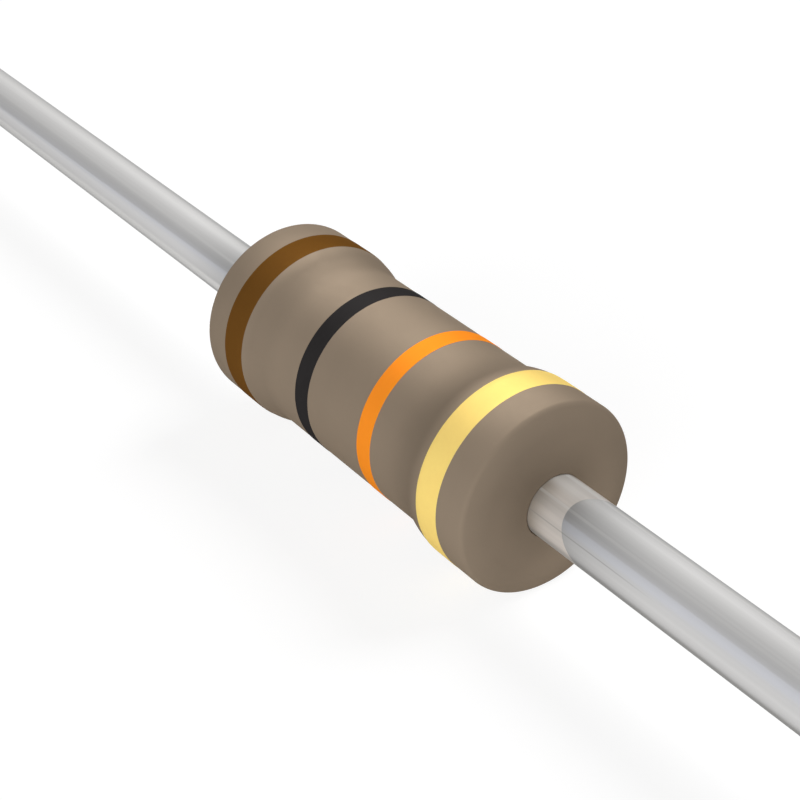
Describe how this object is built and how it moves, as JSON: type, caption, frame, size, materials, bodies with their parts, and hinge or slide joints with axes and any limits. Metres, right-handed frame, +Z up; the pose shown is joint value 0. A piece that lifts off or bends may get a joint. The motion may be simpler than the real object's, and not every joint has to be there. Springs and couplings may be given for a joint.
{
  "type": "carbon film resistor",
  "caption": "Axial-lead carbon film resistor: tan lacquered dog-bone body with colour bands and straight tinned wire leads.",
  "frame": {"origin": "middle of the lacquered body, on the axis of the leads", "axes": "+X runs along the leads, from the brown band to the gold band; +Z up"},
  "size_m": [0.0596, 0.0016, 0.0016],
  "materials": {
    "ceramic": "fired, unglazed, white",
    "carbon": "fired-on carbon, dull dark grey",
    "cap_steel": "drawn, tin plated",
    "tinned_wire": "drawn and tinned, faint lengthwise streaks",
    "lacquer": "semi-matt tan lacquer",
    "brown_paint": "semi-matt brown paint",
    "black_paint": "semi-matt black paint",
    "orange_paint": "semi-matt orange paint",
    "gold_paint": "pale gold paint"
  },
  "bodies": {
    "root": {"ceramic_rod": "ceramic", "carbon_film": "carbon", "end_cap_left": "cap_steel", "end_cap_right": "cap_steel", "lead_left": "tinned_wire", "lead_right": "tinned_wire", "coating": "lacquer", "band_1_brown": "brown_paint", "band_2_black": "black_paint", "band_3_orange": "orange_paint", "band_4_gold": "gold_paint"}
  },
  "joints": []
}
